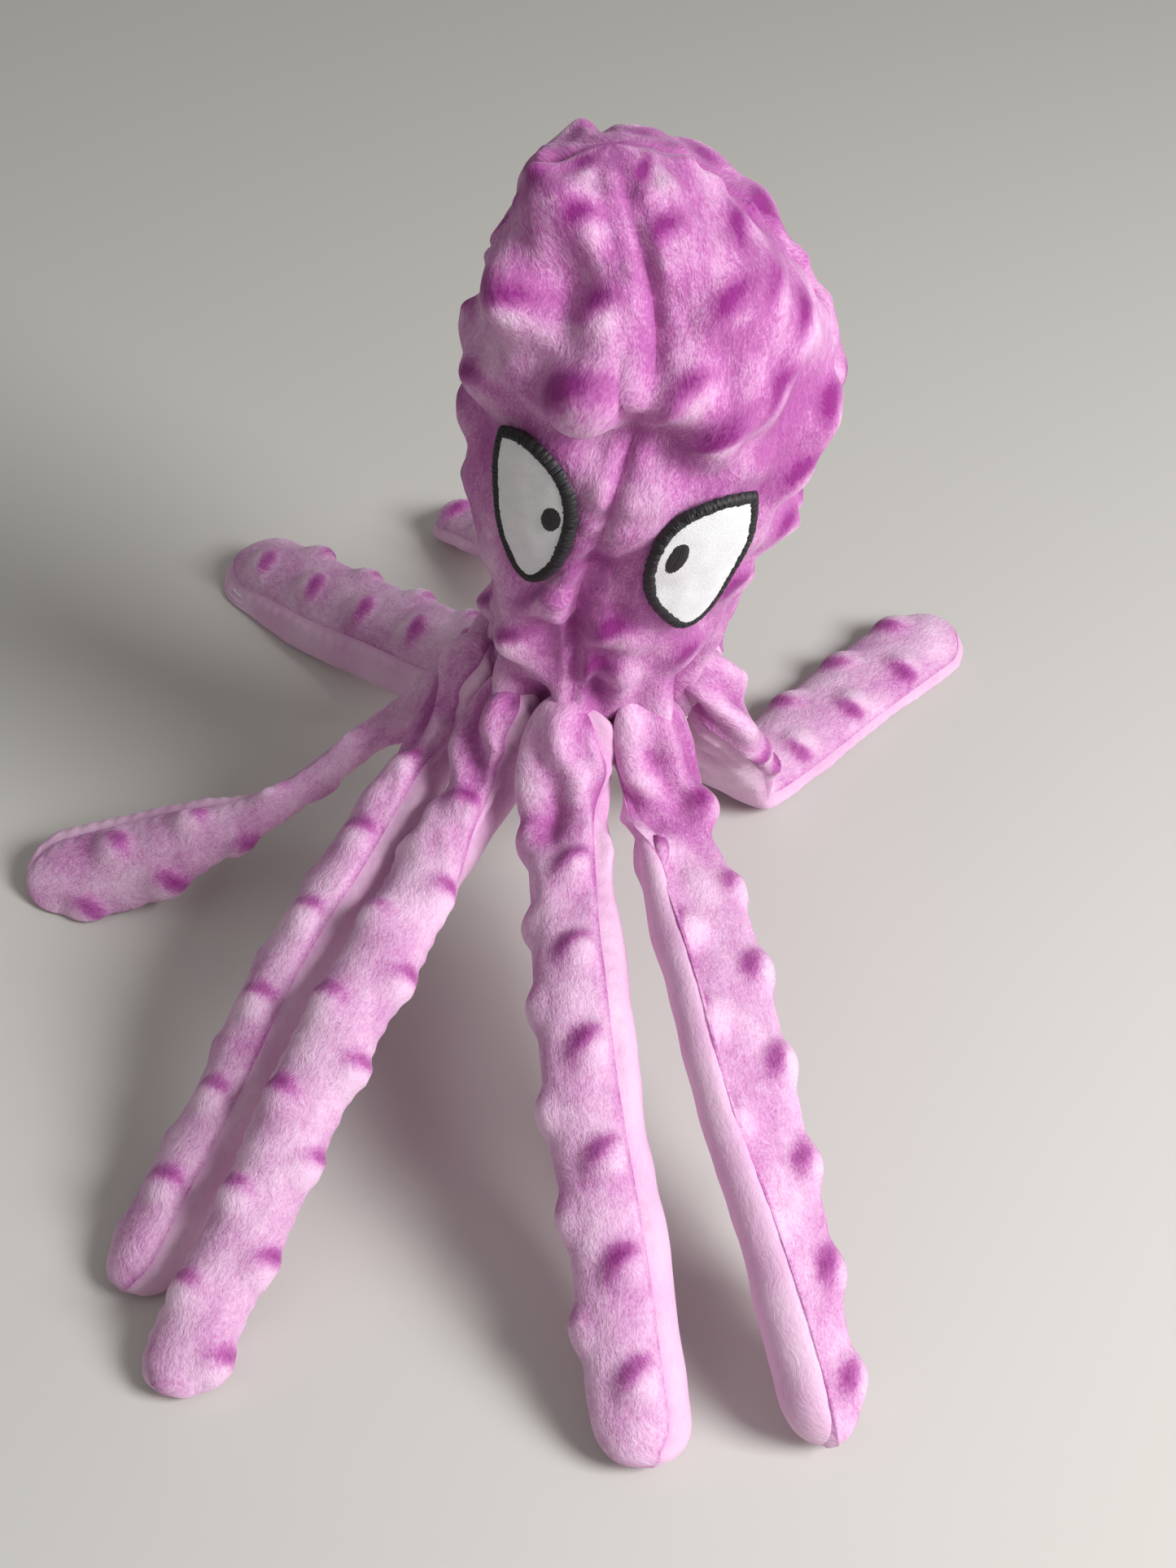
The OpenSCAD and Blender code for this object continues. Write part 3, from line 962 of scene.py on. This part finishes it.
fibre_finish = soft_finish("polyester fibre", (0.7, 0.7, 0.72), (0.93, 0.93, 0.95), 900, 0.9, 1.0)
film_finish = soft_finish("crinkle film", (0.55, 0.56, 0.58), (0.8, 0.81, 0.83), 350, 0.25, 0.8)
shell_finish = soft_finish("squeaker shell", (0.78, 0.78, 0.75), (0.88, 0.88, 0.86), 500, 0.4, 0.3)
reed_finish = soft_finish("squeaker reed", (0.1, 0.12, 0.3), (0.16, 0.2, 0.42), 700, 0.35, 0.3)
for node_name, finish in (
    ("squeaker_base", shell_finish),
    ("squeaker_cap", shell_finish),
    ("squeaker_reed", reed_finish),
):
    node = frame["nodes"][node_name]
    node.data.materials.clear()
    node.data.materials.append(finish)
print("inside finishes: 4")

# %% [markdown]
# ## Legs
# A leg is two long panels sewn face to face and turned, with a film that crackles
# between them. It leaves the head gathered and bunched, drops to a bend and runs out
# along the table. The joints in the frame give the line of each leg: its root hinge, its
# middle hinge, and its tip from the film's node. A moving average rounds the line's bends.

# %% The line of a leg
LEGS = range(1, 9)


def frame_line(number):
    """The root, knee and tip of a leg, in mm, read from the frame."""
    root = np.array(joint_at[f"leg_{number}_swing"]["pos_m"]) / MM
    knee = np.array(joint_at[f"leg_{number}_curl"]["pos_m"]) / MM
    film = frame["nodes"][f"leg_{number}_crinkle_film"].data.vertices
    corners = np.array([vert.co for vert in film]) / MM
    way = corners.mean(0) - knee
    way /= np.linalg.norm(way)
    tip = knee + way * (((corners - knee) @ way).max() + 3)
    return root, knee, tip


def rounded_line(corners, step=1.0, ease=17):
    """Points every step mm along a line through corners, with its bends eased."""
    points = []
    for start, end in zip(corners[:-1], corners[1:]):
        count = max(2, int(np.linalg.norm(end - start) / 0.5))
        points += [start + (end - start) * turn / count for turn in range(count)]
    points = np.array(points + [corners[-1]])
    reach = int(ease / 0.5)
    eased = points.copy()
    for place in range(len(points)):
        half = min(reach, place, len(points) - 1 - place)
        eased[place] = points[place - half : place + half + 1].mean(0)
    walked = walked_line(eased)
    stops = np.arange(0, walked[-1], step)
    return np.array([np.interp(stops, walked, eased[:, axis]) for axis in range(3)]).T


# %% [markdown]
# Each leg lies in its own way. These few numbers say how: its flat width, how far its
# edges fold down like a roof, how much either edge rolls up over the dots, how far it is
# turned about its own line, and how far the seams sit round from its edges.

# %% How each leg lies
# Flat width, thickness and seam shift in mm; roof fold, roll and turn in degrees. Open is the
# side of a dot that gets painted shade, root is the share of the width left where the leg is
# gathered, dots is how high a dot stands, and twist shifts the seams of the upper part, in mm.
LEG_WORDS = ("width", "roof", "roll", "turn", "shift", "thick", "open", "root", "dots", "twist")
LIE_ROWS = {
    1: (25, 75, 0, -12, -7, 10, 40, 0.66, 2.7, 0),
    2: (35, 20, 205, -6, 0, 5.2, 65, 0.55, 2.7, 0),
    3: (29, 55, 0, 8, 5, 9.5, 20, 0.6, 2.6, -8),
    4: (31, 60, 0, 5, 0, 8.5, 0, 0.6, 2.6, 0),
    5: (33, 60, 0, -30, -9, 8.5, 20, 0.6, 2.6, 0),
    6: (30, 70, 0, -28, 7, 7, 40, 0.22, 2.7, 0),
    7: (26, 175, 0, 8, -3, 8, 0, 0.66, 2.2, 0),
    8: (26, 175, 0, -8, 8, 8, 5, 0.66, 2.3, 0),
}
LIE = {number: dict(zip(LEG_WORDS, row)) for number, row in LIE_ROWS.items()}
ACROSS = 36
RINGS = 96


def leg_section(lie, share, walked, length):
    """The closed outline across a leg at one place, as points (sideways, up) in mm."""
    gather = smooth(0.02, 0.42, share) if lie["root"] > 0.4 else smooth(0.5, 0.84, share)
    width = lie["width"] * (lie["root"] + (1 - lie["root"]) * gather)
    knuckle = bell(walked - 17, 10)
    width += knuckle * (23 - width)
    tip_r = lie["width"] * 0.47
    to_tip = max(0.0, 1 - max(0.0, walked - (length - tip_r)) / tip_r)
    closing = math.sqrt(max(0.0, 1 - (1 - to_tip) ** 2.2))
    closing *= math.sqrt(max(0.0, 1 - (1 - min(1.0, walked / 9)) ** 2))
    width *= closing
    thick = (lie["thick"] + 2.5 * (1 - gather) + 3.5 * knuckle) * closing**0.7
    q = np.sin(np.linspace(-math.pi / 2, math.pi / 2, RINGS // 2 + 1))
    s = q * width / 2
    roof = math.radians(lie["roof"]) * (0.55 + 0.45 * (1 - gather)) * (0.5 + 0.5 * closing)
    roof *= 1 - 0.5 * knuckle
    # A leg whose upper part is twisted has no roof fold there.
    if lie["twist"]:
        roof *= smooth(0.34, 0.48, share)
    theta = -roof * q
    reach = 0.2 - 0.4 * smooth(0.5, 0.98, share)
    rolled = np.clip((-q - reach) / (1 - reach), 0, 1)
    theta -= math.radians(lie["roll"]) * smooth(0.1, 0.28, share) * rolled
    middle = len(q) // 2
    step = np.diff(s)
    turn = (theta[1:] + theta[:-1]) / 2
    x = np.concatenate([[0], np.cumsum(np.cos(turn) * step)])
    y = np.concatenate([[0], np.cumsum(np.sin(turn) * step)])
    x -= (x.max() + x.min()) / 2
    y -= y[middle]
    half = thick / 2 * (1 - np.abs(q) ** 2.6) ** 0.55
    top = np.stack([x - np.sin(theta) * half, y + np.cos(theta) * half], 1)
    under = np.stack([x + np.sin(theta) * half, y - np.cos(theta) * half], 1)
    return np.concatenate([top, under[::-1][1:]])


# %% [markdown]
# The outline is walked once round, and the walk is cut in two at the seams: the dotted
# panel takes one half and the plain panel takes the other.

# %% Panels of a leg
def leg_surfaces(number):
    """Places, flat maps, and painted shade and tone of a leg's dotted and plain panels, whole, in mm.
    """
    lie = LIE[number]
    root, knee, tip = frame_line(number)
    outwards = root - np.array([axis_x, axis_y, root[2]])
    outwards /= np.linalg.norm(outwards)
    start = np.array([axis_x, axis_y, 0]) + outwards * 25 + np.array([0, 0, RING_Z + 17])
    bunch = np.array([axis_x, axis_y, 0]) + outwards * 33 + np.array([0, 0, RING_Z + 7])
    line = rounded_line([start, bunch, root + np.array([0, 0, 2.0]), knee, tip], ease=13)
    length = len(line) - 1.0
    walked = np.arange(len(line), dtype=float)
    wobble = np.stack([np.full(len(line), number * 3.7), walked, np.zeros(len(line))], 1)
    loose = smooth(25, 60, walked) * (1 - smooth(0.8, 1, walked / length))
    line[:, 2] += 1.6 * ripple(wobble, 38, 1) * loose
    toward = unit(np.gradient(line, axis=0))
    side = unit(np.cross([0, 0, 1], toward))
    steady = side.copy()
    for place in range(len(side)):
        steady[place] = side[max(0, place - 14) : place + 15].mean(0)
    side = unit(steady - toward * (steady * toward).sum(1, keepdims=True))
    line = line + side * (1.4 * ripple(wobble, 45, 2) * smooth(25, 70, walked))[:, None]
    up = np.cross(toward, side)

    panels = {"dotted": [], "plain": []}
    spans = {"dotted": [], "plain": []}
    middle = []
    for place, distance in enumerate(walked):
        share = distance / length
        outline = leg_section(lie, share, distance, length)
        turn = math.radians(lie["turn"]) * smooth(0.05, 0.5, share)
        x = outline[:, 0] * math.cos(turn) - outline[:, 1] * math.sin(turn)
        y = outline[:, 0] * math.sin(turn) + outline[:, 1] * math.cos(turn)
        ring = line[place] + side[place] * x[:, None] + up[place] * y[:, None]
        pairs = (ring[: RINGS // 2 + 1] + ring[::-1][: RINGS // 2 + 1]) / 2
        middle.append(pairs[8:-8:2])
        round_it = walked_line(ring)
        whole = max(round_it[-1], 1e-6)
        shift = lie["shift"] * smooth(0.1, 0.4, share) * min(1.0, whole / 40)
        shift += lie["twist"] * (1 - smooth(0.36, 0.5, share))
        for panel, first in (("dotted", shift), ("plain", whole / 2 + shift)):
            stops = (first + whole / 2 * np.linspace(0, 1, ACROSS)) % whole
            spot = [np.interp(stops, round_it, ring[:, axis]) for axis in range(3)]
            panels[panel].append(np.array(spot).T)
            spans[panel].append((np.linspace(0, 1, ACROSS) - 0.5) * whole / 2)
    made = {}
    for panel in panels:
        places = np.array(panels[panel])
        across = np.array(spans[panel])
        along = np.repeat(walked[:, None], ACROSS, 1)
        made[panel] = finish_panel(number, panel, places, along, across, length, lie)
    film = np.array(middle)
    film[..., 2] = np.maximum(film[..., 2], 3.2)
    made["film"] = film
    return made, length, (root, knee, tip)


def finish_panel(number, panel, places, along, across, length, lie):
    """Adds the dots, wrinkles, seam puckers and gathers, paints their shade and highlights into the
    stored value, and keeps the panel off the table.
    """
    normal = outward(places)
    seed = number * 2 + (panel == "plain")
    map_places = np.stack([along, across, np.full_like(along, seed)], -1)
    lift = 0.45 * ripple(map_places, 9, seed) + 0.8 * ripple(map_places, 22, seed + 20)
    painted_shade_and_tone = 0.3 * ripple(map_places, 15, seed + 40) - 0.24
    edge = np.abs(across) - np.abs(across).max(1, keepdims=True)
    if panel == "dotted":
        rows = [-9.0, 8.0] if number % 2 else [8.5, -8.5]
        centres = staggered(length - 8, rows, start=30 + (number * 7) % 12)
        dot_lift, dot_painted_shade = dotted(along, across, centres, lie["open"], lie["dots"])
        inside = smooth(0, -4.0, edge)
        lift = lift + dot_lift * (0.45 + 0.55 * inside)
        painted_shade_and_tone = painted_shade_and_tone + dot_painted_shade * inside
    pucker = np.sin(along * 2 * math.pi / 5.2 + 2 * ripple(map_places * [1, 0, 1], 12, seed + 60))
    lift += (0.08 if lie["roll"] else 0.28) * pucker * smooth(-6, -1.0, edge)
    at_edge = smooth(-3.0, -0.2, edge)
    lift = lift * (1 - at_edge) - 0.7 * at_edge
    # Painted shade along the seams at the panel's edges, where the cloth dips.
    painted_shade_and_tone = painted_shade_and_tone + 0.26 * smooth(-1.4, -0.2, edge)
    # Near the head, where the cloth is bunched, the leg is painted deeper, as shade.
    painted_shade_and_tone = painted_shade_and_tone + 0.3 * (1 - smooth(22, 70, along))
    slanted = np.stack([along * 0.45 + across * 0.5, across - along * 0.35, map_places[..., 2]], -1)
    fold = ripple(slanted, 8, seed + 80) * (1 - smooth(25, 80, along))
    lift = lift + 4.2 * fold * (1 - at_edge)
    # The folds get a painted highlight on their crests and painted shade in their hollows.
    painted_shade_and_tone = painted_shade_and_tone - 0.5 * fold
    fade = smooth(0, 5, length - along)
    places = places + normal * (lift * fade)[..., None]
    # Near the table the cloth flattens out softly, and it stays this little above it.
    low, ease = 0.4, 3
    under = places[..., 2] < low + ease
    soft = low + ease * np.exp(np.minimum((places[..., 2] - low - ease) / ease, 0))
    places[..., 2] = np.where(under, soft, places[..., 2])
    return places, np.stack([along, across], -1), painted_shade_and_tone


# %% [markdown]
# A leg bends twice: at the head and at its middle hinge. A piece can blend between two
# bodies only, so each panel is made in an upper and a lower part that meet half-way, in
# the stretch that moves as one. Their surfaces are slices of one grid and meet exactly.

# %% Make the legs
# A panel's rows are 1 mm apart, and its root hinge lies about this many rows down.
ROOT_ROW = 18


def slice_at(root, knee):
    """The row where the upper part of a leg ends, about half-way between its two hinges."""
    return int(ROOT_ROW + np.linalg.norm(knee - root) * 0.52)


leg_pieces = []
for number in LEGS:
    made, length, (root, knee, tip) = leg_surfaces(number)
    cut = slice_at(root, knee)
    upper, lower = f"leg_{number}_upper", f"leg_{number}_lower"
    for panel, node in (("dotted", "front"), ("plain", "back")):
        places, flat, painted_shade_and_tone = made[panel]
        finish = dotted_plush if panel == "dotted" else plain_plush
        for part, rows in ((upper, slice(0, cut + 1)), (lower, slice(cut, None))):
            piece = cloth(f"{part}_{panel}_panel", places[rows], flat[rows], painted_shade_and_tone[rows], finish)
            if part == upper:
                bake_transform(piece)
            else:
                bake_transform(piece)
            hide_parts(f"{part}_{node}")
            leg_pieces.append(piece)
    sheet = made["film"][cut + 4 : -9]
    flat = np.moveaxis(np.indices(sheet.shape[:2]), 0, -1).astype(float)
    film = cloth(f"leg_{number}_film", sheet, flat, np.zeros(flat.shape[:2]), film_finish, 0.2)
    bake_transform(film)
    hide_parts(f"leg_{number}_crinkle_film")
    leg_pieces.append(film)
    print(f"leg {number}: {length:.0f} mm long, {len(leg_pieces)} pieces so far")

# %% [markdown]
# ## What is inside
# The filling, the squeaker and the films can't be seen on the finished toy, but they are
# pieces of it. The filling follows the cloth, the squeaker's bellows is a pleated tube that
# halves its height when it is pressed, and each film lies between its leg's panels.

# %% Filling
def filling(name, first, last, node):
    """A thick half shell of fibre just inside the cloth, around the squeaker."""
    turn = np.linspace(first, last, 61)
    share = np.linspace(0.03, 0.975, 70)
    share, turn = np.meshgrid(share, turn, indexing="ij")
    spot = head_form(share, turn)
    middle_x = axis_x + LEAN * HEAD_H * share
    middle = np.stack([middle_x, np.full_like(share, axis_y), spot[..., 2]], -1)
    inward = 1 - 9.5 / np.maximum(head_radius(share), 12)
    lumps = 0.7 * ripple(spot, 12, 4)
    places = middle + (spot - middle) * inward[..., None] * (1 + lumps / 40)[..., None]
    places[..., 2] = spot[..., 2] - 3 * smooth(0.8, 1, share)
    places = places[::-1]
    piece = cloth(name, places, places[..., :2], np.zeros(share.shape), fibre_finish, 7)
    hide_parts(node)
    head_pieces.append(piece)
    return piece


front_fill = filling("filling_front_wad", -88, 88, "filling_front")
back_fill = filling("filling_back_wad", 92, 268, "filling_back")
print(front_fill.name, back_fill.name)

# %% Underside
def underside():
    """The gathered cloth that closes the head between the legs."""
    rings = np.linspace(0, 1, 46)[:, None]
    turn = np.linspace(0, 360, 241)[None, :]
    radius = rings * (NECK_R - 1.0) + np.zeros_like(turn)
    folds = np.cos(np.radians(turn * 18 + 20 * np.sin(np.radians(turn * 3))))
    height = RING_Z - 5 - 3.5 * (1 - rings**2) + 1.3 * folds * rings * (1 - 0.6 * rings)
    angle = np.radians(turn)
    places = np.stack(
        [axis_x + radius * np.sin(angle), axis_y - radius * np.cos(angle), height + 0 * turn], -1
    )
    flat = np.stack([radius, np.radians(turn) * 20 + 0 * radius], -1)
    # Painted shade in the hollows of the gathered folds.
    painted_shade_and_tone = 0.2 * folds * rings
    piece = cloth("underside_cloth", places[:, ::-1], flat[:, ::-1], painted_shade_and_tone, plain_plush, 1.2)
    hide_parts("underside_panel", "seam_gather")
    head_pieces.append(piece)
    return piece


under = underside()
print(under.name, len(under.data.polygons), "faces")

# %% Squeaker bellows
def bellows():
    """A pleated tube between the squeaker's base and its cap."""
    low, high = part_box("squeaker_bellows")
    floor_z, top_z = low.z / MM, high.z / MM
    radius = (high.x - low.x) / 2 / MM
    rows = np.linspace(0, 1, 61)[:, None]
    turn = np.linspace(0, 360, 73)[None, :]
    wave = radius - 1.6 + 1.4 * np.cos(rows * 2 * math.pi * 4)
    angle = np.radians(turn)
    middle_x = (low.x + high.x) / 2 / MM
    middle_y = (low.y + high.y) / 2 / MM
    height = floor_z + rows * (top_z - floor_z) + 0 * turn
    places = np.stack([middle_x + wave * np.sin(angle), middle_y - wave * np.cos(angle), height], -1)
    flat = np.stack([rows * 16 + 0 * turn, np.radians(turn) * radius + 0 * rows], -1)
    piece = cloth("squeaker_pleats", places, flat, np.zeros(places.shape[:2]), shell_finish, 0.8)
    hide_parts("squeaker_bellows")
    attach(piece, "head")
    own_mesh(piece)
    return piece


pleats = bellows()
print(pleats.name, len(pleats.data.polygons), "faces")

# %% [markdown]
# ## Moving the head
# Everything sewn to the head rides on its body.

# %% Ride on the head
for piece in head_pieces:
    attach(piece, "head")
    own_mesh(piece)
print(len(head_pieces), "pieces ride on the head")
